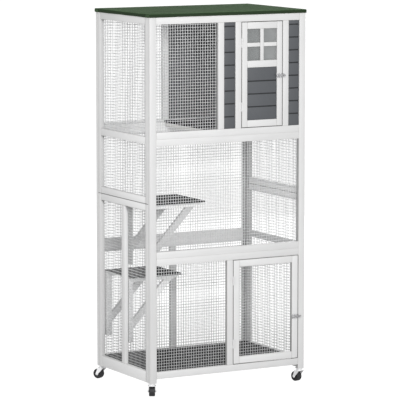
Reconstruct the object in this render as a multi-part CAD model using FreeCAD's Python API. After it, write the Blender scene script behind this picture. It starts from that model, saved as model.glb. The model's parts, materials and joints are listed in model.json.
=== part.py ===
import FreeCAD, Part
import math
import os

# Outdoor cat enclosure on casters: a wooden frame with wire net walls, two shelves, a boarded
# resting place behind a small window door, and a wide net door below.
# Millimetres, +Z up, the front faces -Y, and the origin is on the ground under the frame's middle.

# Frame
frame_width = 800.0
frame_depth = 530.0
post_length = 1638.0
stick_width = 31.0
stick_thick = 18.0
corner_front_width = 32.0
corner_side_width = 28.0
side_bottom_rail_height = 50.0
front_bottom_rail_lift = 18.0

# Seams between stacked panels and feet of the single side rails, above the foot of the posts
upper_seam_height = 1097.0
lower_seam_height = 561.0
side_seam_height = 808.0
side_upper_rail_height = 1076.0
right_lower_rail_height = 555.0

# Openings across the front, counted from the right post, and how far the rear stiles stand to the left
right_strip_width = 56.0
upper_door_width = 215.0
left_strip_width = 58.0
lower_door_width = 344.0
rear_stile_shift = 8.0

# Welded wire net, with every eighth wire of a half inch net
net_pitch = 101.6
net_wire = 3.0
net_thick = 2.0
net_lap = 10.0

# Grooved boarding
siding_thick = 10.0
siding_recess = 4.0
board_height = 58.0
lowest_board = 54.0
door_lowest_board = 60.0
groove_width = 6.0
groove_depth = 3.0

# Floors and roof
floor_board = 9.0
felt_thick = 2.0
bearer_size = 18.0
bottom_floor_height = 49.0
rest_floor_drop = 2.0
roof_overhang = 4.0
roof_deck_thick = 15.0

# Shelves and their brackets, the upper one level with the side seam
lower_shelf_height = 449.0
shelf_length = 272.0
shelf_depth = 268.0
shelf_board = 6.0
shelf_wall_gap = 2.0
bracket_inset = 14.0
bracket_leg_length = 294.0
bracket_leg_thick = 24.0
bracket_arm_setback = 10.0
bracket_arm_taper = 34.0
bracket_arm_nose = 4.0
brace_width = 30.0
brace_thick = 18.0
brace_reach = 204.0
brace_drop = 220.0

# Doors
door_gap = 2.5
upper_door_stile_width = 28.0
upper_door_panel_height = 238.0
window_bar_width = 18.0
window_bar_thick = 10.0
window_bar_recess = 2.0
pane_thick = 2.0

# Hinges
hinge_height = 40.0
hinge_inset = 93.0
hinge_leaf_width = 15.0
hinge_leaf_thick = 1.2
knuckle_radius = 3.5
knuckle_stand = 0.5
knuckle_gap = 0.3
pin_radius = 1.8
pin_fit = 0.05

# Latches
upper_latch_height = 1358.0
lower_latch_height = 245.0
latch_base_height = 20.0
latch_plate_thick = 1.5
latch_edge_gap = 1.0
guide_length = 6.0
guide_wall = 1.6
bolt_radius = 2.5
bolt_fit = 0.05
bolt_lift = 0.8
bolt_travel = 14.0
knob_radius = 2.0
knob_length = 7.0
knob_play = 1.0
keeper_edge_gap = 2.0
keeper_length = 9.0
keeper_clear = 0.4
keeper_flange = 5.0

# Casters, with the way that each wheel trails, in degrees from +X
caster_height = 64.0
caster_trail = 18.0
caster_inset = 16.0
caster_plate_size = 30.0
caster_plate_thick = 3.0
race_height = 8.0
race_radius = 13.0
king_pin_radius = 4.0
king_pin_fit = 0.05
king_pin_head_radius = 6.5
king_pin_head_thick = 2.5
crown_thick = 3.0
crown_half_length = 14.0
fork_sheet = 2.0
fork_side_gap = 1.5
fork_eye_radius = 7.0
wheel_radius = 23.0
wheel_width = 28.0
axle_radius = 3.0
axle_fit = 0.05
front_left_trail_angle = 62.0
front_right_trail_angle = 103.0
rear_left_trail_angle = 120.0
rear_right_trail_angle = 90.0

V = FreeCAD.Vector
UP = V(0, 0, 1)

# Planes of the frame
x_left = -frame_width / 2
x_right = frame_width / 2
y_front = -frame_depth / 2
y_rear = frame_depth / 2
z_foot = caster_height
z_top = z_foot + post_length

# Inner faces of the sticks, and of the net that lies on them
x_left_in = x_left + stick_thick
x_right_in = x_right - stick_thick
y_front_in = y_front + stick_thick
y_rear_in = y_rear - stick_thick
x_left_net = x_left_in + net_thick
x_right_net = x_right_in - net_thick
y_front_net = y_front_in + net_thick
y_rear_net = y_rear_in - net_thick

# Faces of the corner posts that look into the openings
x_left_post = x_left + corner_front_width
x_right_post = x_right - corner_front_width
y_front_post = y_front_in + corner_side_width
y_rear_post = y_rear_in - corner_side_width

# Edges of the rails that bound each opening
z_upper_seam = z_foot + upper_seam_height
z_lower_seam = z_foot + lower_seam_height
z_side_seam = z_foot + side_seam_height
z_side_upper = z_foot + side_upper_rail_height
z_right_lower = z_foot + right_lower_rail_height
z_front_bottom = z_foot + front_bottom_rail_lift
z_front_floor = z_front_bottom + stick_width
z_side_floor = z_foot + side_bottom_rail_height
z_under_top = z_top - stick_width
z_over_upper = z_upper_seam + stick_width
z_under_upper = z_upper_seam - stick_width
z_over_lower = z_lower_seam + stick_width
z_under_lower = z_lower_seam - stick_width
z_over_side = z_side_seam + stick_width
z_under_side = z_side_seam - stick_width
z_over_side_upper = z_side_upper + stick_width

# Edges of the upright sticks across the front
x_latch_stile_right = x_right_post - right_strip_width
x_latch_stile_left = x_latch_stile_right - stick_width
x_hinge_stile_right = x_latch_stile_left - upper_door_width
x_hinge_stile_left = x_hinge_stile_right - stick_width
x_divider_right = x_hinge_stile_left - left_strip_width
x_divider_left = x_divider_right - stick_width
x_rear_divider_right = x_divider_right - rear_stile_shift
x_rear_divider_left = x_divider_left - rear_stile_shift
x_lower_stile_right = x_right_post - lower_door_width
x_lower_stile_left = x_lower_stile_right - stick_width


def block(x0, x1, y0, y1, z0, z1):
    """Box between two corners."""
    return Part.makeBox(x1 - x0, y1 - y0, z1 - z0, V(x0, y0, z0))


def front_stick(x0, x1, z0, z1):
    return block(x0, x1, y_front, y_front_in, z0, z1)


def rear_stick(x0, x1, z0, z1):
    return block(x0, x1, y_rear_in, y_rear, z0, z1)


def left_stick(y0, y1, z0, z1):
    return block(x_left, x_left_in, y0, y1, z0, z1)


def right_stick(y0, y1, z0, z1):
    return block(x_right_in, x_right, y0, y1, z0, z1)


def front_rail(z0, z1):
    return front_stick(x_left_post, x_right_post, z0, z1)


def rear_rail(z0, z1):
    return rear_stick(x_left_post, x_right_post, z0, z1)


def left_rail(z0, z1):
    return left_stick(y_front_post, y_rear_post, z0, z1)


def right_rail(z0, z1):
    return right_stick(y_front_post, y_rear_post, z0, z1)


def prism(points, along):
    """Solid swept from a closed outline of straight edges."""
    outline = Part.makePolygon(points + [points[0]])
    return Part.Face(outline).extrude(along)


def save(node, *solids):
    """Write one node, of one or more separate solids."""
    shape = solids[0] if len(solids) == 1 else Part.makeCompound(list(solids))
    shape.exportStep(f"parts/{node}.step")


os.makedirs("parts", exist_ok=True)

# Corner posts: a stick of the front or rear wall, and two stacked sticks of the side wall behind it
for side, x0, x_side in (("left", x_left, x_left), ("right", x_right_post, x_right_in)):
    for end, y0, y_side in (("front", y_front, y_front_in), ("rear", y_rear_in, y_rear_post)):
        sticks = [block(x0, x0 + corner_front_width, y0, y0 + stick_thick, z_foot, z_top)]
        for z0, z1 in ((z_foot, z_side_seam), (z_side_seam, z_top)):
            sticks.append(block(x_side, x_side + stick_thick, y_side, y_side + corner_side_width, z0, z1))
        save(f"{end}_{side}_post", *sticks)

# Rails
rail_makers = (front_rail, rear_rail, left_rail, right_rail)
save("top_rails", *[rail(z_under_top, z_top) for rail in rail_makers])
save(
    "upper_rails",
    *[rail(z_upper_seam, z_over_upper) for rail in (front_rail, rear_rail)],
    *[rail(z_under_upper, z_upper_seam) for rail in (front_rail, rear_rail)],
    *[rail(z_side_upper, z_over_side_upper) for rail in (left_rail, right_rail)],
)
save(
    "lower_rails",
    *[rail(z_lower_seam, z_over_lower) for rail in (front_rail, rear_rail)],
    *[rail(z_under_lower, z_lower_seam) for rail in (front_rail, rear_rail)],
)
save(
    "side_middle_rails",
    *[rail(z_side_seam, z_over_side) for rail in (left_rail, right_rail)],
    *[rail(z_under_side, z_side_seam) for rail in (left_rail, right_rail)],
)
save("right_lower_rail", right_rail(z_right_lower, z_right_lower + stick_width))
save(
    "bottom_rails",
    front_rail(z_front_bottom, z_front_floor),
    rear_rail(z_front_bottom, z_front_floor),
    left_rail(z_foot, z_side_floor),
    right_rail(z_foot, z_side_floor),
)

# Stiles
y_centre_stile = -stick_width / 2
x_centre_stile = -stick_width / 2 - rear_stile_shift
for name, stile in (
    ("front_divider", front_stick(x_divider_left, x_divider_right, z_over_upper, z_under_top)),
    ("upper_door_hinge", front_stick(x_hinge_stile_left, x_hinge_stile_right, z_over_upper, z_under_top)),
    ("upper_door_latch", front_stick(x_latch_stile_left, x_latch_stile_right, z_over_upper, z_under_top)),
    ("lower_door_hinge", front_stick(x_lower_stile_left, x_lower_stile_right, z_front_floor, z_under_lower)),
    ("left_centre", left_stick(y_centre_stile, -y_centre_stile, z_side_floor, z_under_side)),
    ("rear_divider", rear_stick(x_rear_divider_left, x_rear_divider_right, z_over_upper, z_under_top)),
    ("rear_centre", rear_stick(x_centre_stile, x_centre_stile + stick_width, z_front_floor, z_under_lower)),
):
    save(f"{name}_stile", stile)


def siding(x0, x1, z0, z1, z_groove):
    """Grooved panel that faces -Y, set back from the front plane of the frame, with one groove at z_groove."""
    face = y_front + siding_recess
    panel = block(x0, x1, face, face + siding_thick, z0, z1)
    half = groove_width / 2
    z = z_groove - board_height * int((z_groove - z0 - groove_width) / board_height)
    while z < z1 - groove_width:
        profile = [V(x0, face, z - half), V(x0, face + groove_depth, z), V(x0, face, z + half)]
        panel = panel.cut(prism(profile, V(x1 - x0, 0, 0)))
        z += board_height
    return panel


def turned(shape, degrees):
    """Copy of a shape, turned about the frame's upright middle line."""
    copy = shape.copy()
    copy.rotate(V(0, 0, 0), UP, degrees)
    return copy


# Boarding of the resting place, its grooves level all round: front strips, rear wall and right wall
z_groove = z_over_upper + lowest_board
save(
    "front_siding",
    siding(x_divider_right, x_hinge_stile_left, z_over_upper, z_under_top, z_groove),
    siding(x_latch_stile_right, x_right_post, z_over_upper, z_under_top, z_groove),
)
rear_wall = siding(-x_right_post, -x_rear_divider_right, z_over_upper, z_under_top, z_groove)
save("rear_siding", turned(rear_wall, 180))
right_wall = turned(siding(y_front_post, y_rear_post, z_over_side_upper, z_under_top, z_groove), 90)
right_wall.translate(V(x_right - frame_depth / 2, 0, 0))
save("right_siding", right_wall)


def net(u0, u1, z0, z1, at, along, through):
    """Holed sheet over one opening, from u0 to u1 and z0 to z1, that laps over the sticks round it."""
    def loop(ua, ub, za, zb):
        corners = ((ua, za), (ub, za), (ub, zb), (ua, zb), (ua, za))
        return Part.makePolygon([at + along * u + UP * z for u, z in corners])

    columns = max(1, round((u1 - u0) / net_pitch))
    rows = max(1, round((z1 - z0) / net_pitch))
    width = (u1 - u0 - net_wire) / columns
    height = (z1 - z0 - net_wire) / rows
    loops = [loop(u0 - net_lap, u1 + net_lap, z0 - net_lap, z1 + net_lap)]
    for column in range(columns):
        for row in range(rows):
            ua = u0 + net_wire + column * width
            za = z0 + net_wire + row * height
            loops.append(loop(ua, ua + width - net_wire, za, za + height - net_wire))
    return Part.Face(loops, "Part::FaceMakerBullseye").extrude(through)


def front_net(x0, x1, z0, z1):
    return net(x0, x1, z0, z1, V(0, y_front_in, 0), V(1, 0, 0), V(0, net_thick, 0))


def rear_net(x0, x1, z0, z1):
    return net(x0, x1, z0, z1, V(0, y_rear_in, 0), V(1, 0, 0), V(0, -net_thick, 0))


def left_net(z0, z1):
    return net(y_front_post, y_rear_post, z0, z1, V(x_left_in, 0, 0), V(0, 1, 0), V(net_thick, 0, 0))


def right_net(z0, z1):
    return net(y_front_post, y_rear_post, z0, z1, V(x_right_in, 0, 0), V(0, 1, 0), V(-net_thick, 0, 0))


# Net walls
save(
    "front_mesh",
    front_net(x_left_post, x_divider_left, z_over_upper, z_under_top),
    front_net(x_left_post, x_right_post, z_over_lower, z_under_upper),
    front_net(x_left_post, x_lower_stile_left, z_front_floor, z_under_lower),
)
save(
    "rear_mesh",
    rear_net(x_left_post, x_rear_divider_left, z_over_upper, z_under_top),
    rear_net(x_left_post, x_right_post, z_over_lower, z_under_upper),
    rear_net(x_left_post, x_right_post, z_front_floor, z_under_lower),
)
save(
    "left_mesh",
    left_net(z_over_side_upper, z_under_top),
    left_net(z_over_side, z_side_upper),
    left_net(z_side_floor, z_under_side),
)
save("right_mesh", right_net(z_over_side, z_side_upper), right_net(z_side_floor, z_under_side))

# Bottom floor: bearers against the bottom rails, board and felt mat
z_floor_felt = z_foot + bottom_floor_height
z_floor_top = z_floor_felt - felt_thick
z_floor_board = z_floor_top - floor_board
z_floor_bearer = z_floor_board - bearer_size
save("bottom_floor", block(x_left_net, x_right_net, y_front_net, y_rear_net, z_floor_board, z_floor_top))
save("bottom_felt", block(x_left_net, x_right_net, y_front_net, y_rear_net, z_floor_top, z_floor_felt))

# Floor of the resting place, open to the climbing shaft on its left
z_rest_felt = z_over_upper - rest_floor_drop
z_rest_top = z_rest_felt - felt_thick
z_rest_board = z_rest_top - floor_board
z_rest_bearer = z_rest_board - bearer_size
x_rest_edge = x_divider_left + bearer_size
save("rest_floor", block(x_divider_left, x_right_net, y_front_net, y_rear_net, z_rest_board, z_rest_top))
save("rest_felt", block(x_divider_left, x_right_net, y_front_net, y_rear_net, z_rest_top, z_rest_felt))

half_bearer = bearer_size / 2
save(
    "floor_bearers",
    block(x_left_in, x_left_in + bearer_size, y_front_post, y_rear_post, z_floor_bearer, z_floor_board),
    block(-half_bearer, half_bearer, y_front_in, y_rear_in, z_floor_bearer, z_floor_board),
    block(x_right_in - bearer_size, x_right_in, y_front_post, y_rear_post, z_floor_bearer, z_floor_board),
    block(x_divider_left, x_rest_edge, y_front_net, y_rear_net, z_rest_bearer, z_rest_board),
    block(x_rest_edge, x_right_post, y_front_in, y_front_in + bearer_size, z_rest_bearer, z_rest_board),
    block(x_rest_edge, x_right_post, y_rear_in - bearer_size, y_rear_in, z_rest_bearer, z_rest_board),
)


def shelf_bracket(y0, z_board):
    """Leg, arm and brace under a shelf, in line along X."""
    x_leg = x_left_net + bracket_leg_thick
    z_arm = z_board - stick_thick
    x_arm = x_left_net + shelf_length - bracket_arm_setback
    leg = block(x_left_net, x_leg, y0, y0 + stick_width, z_board - bracket_leg_length, z_board)
    arm_outline = [
        V(x_leg, y0, z_arm),
        V(x_arm - bracket_arm_taper, y0, z_arm),
        V(x_arm, y0, z_board - bracket_arm_nose),
        V(x_arm, y0, z_board),
        V(x_leg, y0, z_board),
    ]
    arm = prism(arm_outline, V(0, stick_width, 0))
    y_brace = y0 + (stick_width - brace_thick) / 2
    slope = math.hypot(brace_reach, brace_drop)
    brace_outline = [
        V(x_leg, y_brace, z_arm - brace_drop),
        V(x_leg + brace_reach, y_brace, z_arm),
        V(x_leg + brace_reach - brace_width * slope / brace_drop, y_brace, z_arm),
        V(x_leg, y_brace, z_arm - brace_drop + brace_width * slope / brace_reach),
    ]
    return leg, arm, prism(brace_outline, V(0, brace_thick, 0))


# Shelves: the upper one in the front left corner, the lower one in the rear left corner.
# Their felt folds over the three free edges.
y_upper_shelf = y_front_net + shelf_wall_gap
y_lower_shelf = y_rear_net - shelf_wall_gap - shelf_depth
y_front_bracket = y_upper_shelf + bracket_inset
y_rear_bracket = -y_front_bracket - stick_width
shelf_places = (
    ("upper", z_side_seam, y_upper_shelf, (y_front_bracket, y_centre_stile)),
    ("lower", z_foot + lower_shelf_height, y_lower_shelf, (y_centre_stile, y_rear_bracket)),
)
shelf_felts = []
for name, z_felt, y0, bracket_places in shelf_places:
    z_cover = z_felt - felt_thick
    z_board = z_cover - shelf_board
    x1 = x_left_net + shelf_length
    y1 = y0 + shelf_depth
    board = block(x_left_net, x1 - felt_thick, y0 + felt_thick, y1 - felt_thick, z_board, z_cover)
    save(f"{name}_shelf", board)
    shelf_felts.append(block(x_left_net, x1, y0, y1, z_board, z_felt).cut(board))
    sticks = [stick for place in bracket_places for stick in shelf_bracket(place, z_board)]
    save(f"{name}_shelf_brackets", *sticks)
save("shelf_felts", *shelf_felts)

# Roof deck, and felt that covers it and folds over its edges
roof_x = frame_width / 2 + roof_overhang
roof_y = frame_depth / 2 + roof_overhang
deck_x = roof_x - felt_thick
deck_y = roof_y - felt_thick
z_deck = z_top + roof_deck_thick
deck = block(-deck_x, deck_x, -deck_y, deck_y, z_top, z_deck)
save("roof_deck", deck)
save("roof_felt", block(-roof_x, roof_x, -roof_y, roof_y, z_top, z_deck + felt_thick).cut(deck))


def door_frame(x0, x1, z0, z1, stile_width, rail_feet):
    """Two stiles, and a rail at each given height."""
    inner_left = x0 + stile_width
    inner_right = x1 - stile_width
    stiles = [front_stick(x0, inner_left, z0, z1), front_stick(inner_right, x1, z0, z1)]
    rails = [front_stick(inner_left, inner_right, z, z + stick_width) for z in rail_feet]
    return stiles + rails


# Upper door: framed window above a grooved panel
ud_left = x_hinge_stile_right + door_gap
ud_right = x_latch_stile_left - door_gap
ud_bottom = z_over_upper + door_gap
ud_top = z_under_top - door_gap
ud_panel_bottom = ud_bottom + stick_width
ud_panel_top = ud_panel_bottom + upper_door_panel_height
ud_window_bottom = ud_panel_top + stick_width
ud_window_top = ud_top - stick_width
ud_inner_left = ud_left + upper_door_stile_width
ud_inner_right = ud_right - upper_door_stile_width
ud_rail_feet = (ud_bottom, ud_panel_top, ud_window_top)
ud_frame = door_frame(ud_left, ud_right, ud_bottom, ud_top, upper_door_stile_width, ud_rail_feet)
save("upper_door_frame", *ud_frame)
ud_groove = ud_panel_bottom + door_lowest_board
save("upper_door_siding", siding(ud_inner_left, ud_inner_right, ud_panel_bottom, ud_panel_top, ud_groove))

bar_front = y_front + window_bar_recess
bar_back = bar_front + window_bar_thick
bar_x = (ud_inner_left + ud_inner_right - window_bar_width) / 2
bar_z = (ud_window_bottom + ud_window_top - window_bar_width) / 2
save(
    "upper_door_window_bars",
    block(bar_x, bar_x + window_bar_width, bar_front, bar_back, ud_window_bottom, ud_window_top),
    block(ud_inner_left, bar_x, bar_front, bar_back, bar_z, bar_z + window_bar_width),
    block(bar_x + window_bar_width, ud_inner_right, bar_front, bar_back, bar_z, bar_z + window_bar_width),
)
save(
    "upper_door_pane",
    block(ud_inner_left, ud_inner_right, bar_back, bar_back + pane_thick, ud_window_bottom, ud_window_top),
)

# Lower door: a frame with net on its inner face
ld_left = x_lower_stile_right + door_gap
ld_right = x_right_post - door_gap
ld_bottom = z_front_floor + door_gap
ld_top = z_under_lower - door_gap
ld_rail_feet = (ld_bottom, ld_top - stick_width)
save("lower_door_frame", *door_frame(ld_left, ld_right, ld_bottom, ld_top, stick_width, ld_rail_feet))
save(
    "lower_door_mesh",
    front_net(ld_left + stick_width, ld_right - stick_width, ld_bottom + stick_width, ld_top - stick_width),
)

# Hinges, whose pin is fixed in the frame leaf's two knuckles and turns in the door leaf's one
knuckle_y = y_front - knuckle_stand - knuckle_radius
knuckle_length = (hinge_height - 2 * knuckle_gap) / 3
tongue = knuckle_radius + knuckle_stand


def hinge_leaf(x, z0, side, knuckle_feet):
    """Leaf and solid knuckles on one side of the pin at x: side is -1 for the frame, +1 for the door."""
    def plate(near, far, za, zb):
        xa, xb = sorted((x + side * near, x + side * far))
        return block(xa, xb, y_front - hinge_leaf_thick, y_front, za, zb)

    leaf = plate(tongue, hinge_leaf_width, z0, z0 + hinge_height)
    for foot in knuckle_feet:
        leaf = leaf.fuse(plate(0, tongue, foot, foot + knuckle_length))
        leaf = leaf.fuse(Part.makeCylinder(knuckle_radius, knuckle_length, V(x, knuckle_y, foot), UP))
    return leaf


frame_leaves = []
for name, x, z0, z1 in (
    ("upper", x_hinge_stile_right + door_gap / 2, ud_bottom, ud_top),
    ("lower", x_lower_stile_right + door_gap / 2, ld_bottom, ld_top),
):
    door_leaves = []
    for centre in (z0 + hinge_inset, z1 - hinge_inset):
        foot = centre - hinge_height / 2
        step = knuckle_length + knuckle_gap
        pin_foot = V(x, knuckle_y, foot)
        pin = Part.makeCylinder(pin_radius, hinge_height, pin_foot, UP)
        bore = Part.makeCylinder(pin_radius + pin_fit, hinge_height, pin_foot, UP)
        frame_leaves.append(hinge_leaf(x, foot, -1, (foot, foot + 2 * step)).fuse(pin).removeSplitter())
        door_leaves.append(hinge_leaf(x, foot, 1, (foot + step,)).cut(bore).removeSplitter())
    save(f"{name}_door_hinge_leaves", *door_leaves)
save("hinge_frame_leaves", *frame_leaves)

# Latches: a bolt in two guides on the door, shown drawn back, and a keeper on the frame
bolt_y = y_front - latch_plate_thick - bolt_lift - bolt_radius
latch_base_length = 2 * (guide_length + knob_play + knob_radius) + bolt_travel
guide_half = bolt_radius + bolt_fit + guide_wall


def strap(x0, x1, z, clear):
    """Folded strap on the plate's face, round the bolt that slides along X."""
    inner = bolt_radius + clear
    solid = block(x0, x1, bolt_y - guide_half, y_front - latch_plate_thick, z - guide_half, z + guide_half)
    return solid.cut(block(x0, x1, bolt_y - inner, bolt_y + inner, z - inner, z + inner))


keepers = []
for name, x_edge, z in (
    ("upper", ud_right, z_foot + upper_latch_height),
    ("lower", ld_right, z_foot + lower_latch_height),
):
    x1 = x_edge - latch_edge_gap
    x0 = x1 - latch_base_length
    half = latch_base_height / 2
    base = block(x0, x1, y_front - latch_plate_thick, y_front, z - half, z + half)
    for xg in (x0, x1 - guide_length):
        base = base.fuse(strap(xg, xg + guide_length, z, bolt_fit))
    save(f"{name}_latch_base", base.removeSplitter())

    rod = Part.makeCylinder(bolt_radius, latch_base_length, V(x0, bolt_y, z), V(1, 0, 0))
    x_knob = x0 + guide_length + knob_play + knob_radius
    knob = Part.makeCylinder(knob_radius, bolt_radius + knob_length, V(x_knob, bolt_y, z), V(0, -1, 0))
    save(f"{name}_latch_bolt", rod.fuse(knob).removeSplitter())

    xk = x_edge + door_gap + keeper_edge_gap
    keeper = strap(xk, xk + keeper_length, z, keeper_clear)
    flange = block(xk, xk + keeper_length, y_front - latch_plate_thick, y_front,
                   z - guide_half - keeper_flange, z + guide_half + keeper_flange)
    keepers.append(keeper.fuse(flange).removeSplitter())
save("latch_keepers", *keepers)

# Casters, made with the swivel on the Z axis and the wheel trailing along +X
z_plate = caster_height - caster_plate_thick
z_race = z_plate - race_height
z_crown = z_race - crown_thick
fork_in = wheel_width / 2 + fork_side_gap
fork_out = fork_in + fork_sheet
axle_centre = V(caster_trail, 0, wheel_radius)


def caster_plate():
    half = caster_plate_size / 2
    plate = block(-half, half, -half, half, z_plate, caster_height)
    race = Part.makeCylinder(race_radius, race_height, V(0, 0, z_race), UP)
    pin = Part.makeCylinder(king_pin_radius, crown_thick, V(0, 0, z_crown), UP)
    head_foot = V(0, 0, z_crown - king_pin_head_thick)
    head = Part.makeCylinder(king_pin_head_radius, king_pin_head_thick, head_foot, UP)
    return plate.fuse([race, pin, head]).removeSplitter()


def caster_fork():
    crown = block(-crown_half_length, crown_half_length, -fork_out, fork_out, z_crown, z_race)
    crown = crown.cut(Part.makeCylinder(king_pin_radius + king_pin_fit, crown_thick, V(0, 0, z_crown), UP))
    pieces = []
    for y0 in (-fork_out, fork_in):
        cheek = [
            V(-crown_half_length, y0, z_crown),
            V(crown_half_length, y0, z_crown),
            V(caster_trail + fork_eye_radius, y0, wheel_radius),
            V(caster_trail - fork_eye_radius, y0, wheel_radius),
        ]
        pieces.append(prism(cheek, V(0, fork_sheet, 0)))
        eye = V(caster_trail, y0, wheel_radius)
        pieces.append(Part.makeCylinder(fork_eye_radius, fork_sheet, eye, V(0, 1, 0)))
    axle_end = axle_centre - V(0, fork_out, 0)
    pieces.append(Part.makeCylinder(axle_radius, 2 * fork_out, axle_end, V(0, 1, 0)))
    return crown.fuse(pieces).removeSplitter()


def caster_wheel():
    side = axle_centre - V(0, wheel_width / 2, 0)
    tread = Part.makeCylinder(wheel_radius, wheel_width, side, V(0, 1, 0))
    return tread.cut(Part.makeCylinder(axle_radius + axle_fit, wheel_width, side, V(0, 1, 0)))


plates = []
for name, x, y, angle in (
    ("front_left", x_left + caster_inset, y_front + caster_inset, front_left_trail_angle),
    ("front_right", x_right - caster_inset, y_front + caster_inset, front_right_trail_angle),
    ("rear_left", x_left + caster_inset, y_rear - caster_inset, rear_left_trail_angle),
    ("rear_right", x_right - caster_inset, y_rear - caster_inset, rear_right_trail_angle),
):
    place = V(x, y, 0)
    plate = caster_plate()
    plate.translate(place)
    plates.append(plate)
    for kind, shape in (("fork", caster_fork()), ("wheel", caster_wheel())):
        shape.rotate(V(0, 0, 0), UP, angle)
        shape.translate(place)
        save(f"{name}_caster_{kind}", shape)
save("caster_plates", *plates)
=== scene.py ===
"""Outdoor cat enclosure: painted timber, grooved boarding, welded net, mineral felt and zinc hardware."""

import json
import math

import bmesh
import bpy
from bpy.props import FloatProperty, FloatVectorProperty, IntProperty, PointerProperty
from bpy.types import Operator, Panel, PropertyGroup
from mathutils import Euler, Matrix, Vector, noise

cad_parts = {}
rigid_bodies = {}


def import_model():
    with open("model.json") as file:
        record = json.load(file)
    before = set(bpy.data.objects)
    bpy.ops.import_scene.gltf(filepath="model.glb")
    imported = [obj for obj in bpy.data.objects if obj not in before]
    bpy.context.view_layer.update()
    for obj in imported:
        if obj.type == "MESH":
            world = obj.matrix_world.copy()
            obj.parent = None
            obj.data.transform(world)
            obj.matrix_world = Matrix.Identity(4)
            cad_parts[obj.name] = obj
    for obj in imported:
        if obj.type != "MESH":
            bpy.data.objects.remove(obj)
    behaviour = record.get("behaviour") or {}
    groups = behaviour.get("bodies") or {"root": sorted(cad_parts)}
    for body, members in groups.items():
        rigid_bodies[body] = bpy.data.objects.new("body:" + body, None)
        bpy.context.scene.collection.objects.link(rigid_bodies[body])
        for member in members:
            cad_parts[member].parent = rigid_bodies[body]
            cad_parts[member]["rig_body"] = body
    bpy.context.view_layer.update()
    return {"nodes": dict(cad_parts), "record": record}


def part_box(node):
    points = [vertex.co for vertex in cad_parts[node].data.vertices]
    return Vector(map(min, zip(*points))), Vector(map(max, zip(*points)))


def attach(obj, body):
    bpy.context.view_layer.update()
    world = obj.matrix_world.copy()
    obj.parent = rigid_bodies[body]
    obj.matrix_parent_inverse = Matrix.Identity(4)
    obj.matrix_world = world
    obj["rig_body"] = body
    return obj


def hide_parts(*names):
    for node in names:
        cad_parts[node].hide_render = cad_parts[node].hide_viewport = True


bl_info = {
    "name": "Outdoor Cat Enclosure",
    "version": (1, 0, 0),
    "blender": (4, 5, 0),
    "location": "3D View > Sidebar > Cat Enclosure",
    "description": "Dresses the packed frame of an outdoor cat enclosure",
    "category": "Add Mesh",
}

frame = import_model()
SLOT_OF = {part["node"]: part["material_slot"] for part in frame["record"]["subparts"]}
BODY_OF = {node: item["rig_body"] for node, item in frame["nodes"].items()}


def nodes_in(slot):
    return sorted(node for node, name in SLOT_OF.items() if name == slot)


HINGES = [node for node in nodes_in("white_paint") if node.endswith("_leaves")]
OUTER_LOW, OUTER_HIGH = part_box("top_rails")
DOORS = (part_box("upper_door_frame"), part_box("lower_door_frame"))
UP, FRONT, LEFT = Vector((0, 0, 1)), Vector((0, -1, 0)), Vector((-1, 0, 0))


# Settings


def length(name, description, default):
    return FloatProperty(
        name=name, description=description, default=default, min=0, subtype="DISTANCE", unit="LENGTH"
    )


def colour(name, description, default):
    return FloatVectorProperty(
        name=name, description=description, default=default, min=0, max=1, subtype="COLOR"
    )


def power(name, description, default):
    return FloatProperty(name=name, description=description, default=default, min=0, unit="POWER")


class TimberSettings(PropertyGroup):
    """Painted sticks and grooved boards."""

    white: colour("White Paint", "Paint on the frame and the doors", (0.65, 0.65, 0.65))
    grey: colour("Grey Paint", "Paint on the grooved boarding", (0.088, 0.093, 0.101))
    bare: colour("Bare Board", "Unpainted board under the felt", (0.66, 0.65, 0.635))
    arris: length("Arris", "Rounding along the edges of a stick", 0.0014)
    tight_arris: length("Tight Arris", "Rounding beside the closed seam of double rails", 0.0007)
    open_arris: length("Open Arris", "Rounding beside an open seam between two stacked panels", 0.0022)
    board_arris: length("Board Arris", "Rounding along the grooves of the boarding", 0.0006)


class NetSettings(PropertyGroup):
    """Welded wire net and the staples that hold it."""

    pitch: length("Pitch", "Distance from one upright wire to the next", 0.0127)
    rise: length("Rise", "Distance from one level wire to the next", 0.0130)
    wire: length("Wire", "Diameter of a galvanised wire", 0.0023)
    depth: FloatProperty(
        name="Depth", description="Depth of the net against round wires", default=0.55, min=0.1, max=1
    )
    wander: length("Wander", "How far a wire strays from its line", 0.0006)
    staple: length("Staple", "Width of a staple's crown", 0.0105)
    staple_wire: length("Staple Wire", "Thickness of a staple's wire", 0.0011)
    staple_spacing: length("Staple Spacing", "Distance from staple to staple along a rail", 0.095)
    seed: IntProperty(name="Seed", description="Seed of the wires' wander and the staples' turn", default=7)
    zinc: colour("Galvanising", "Colour of the galvanised wire", (0.69, 0.695, 0.70))


class FeltSettings(PropertyGroup):
    """Mineral felt on the roof, the floors and the shelves."""

    roof: colour("Roof Felt", "Colour of the granules on the roof", (0.068, 0.121, 0.058))
    floor: colour("Floor Felt", "Colour of the granules on floors and shelves", (0.0115, 0.012, 0.0125))
    granule: length("Granule", "Size of one mineral granule", 0.0014)
    sheet: length("Thickness", "Thickness of a felt sheet", 0.002)
    fold: length("Fold", "Radius of the felt's fold over an edge", 0.0032)
    sag: length("Unevenness", "How far the felt strays from flat", 0.0012)
    lap: length("Corner Lap", "Width of the roof felt's laps at its corners", 0.042)


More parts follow.
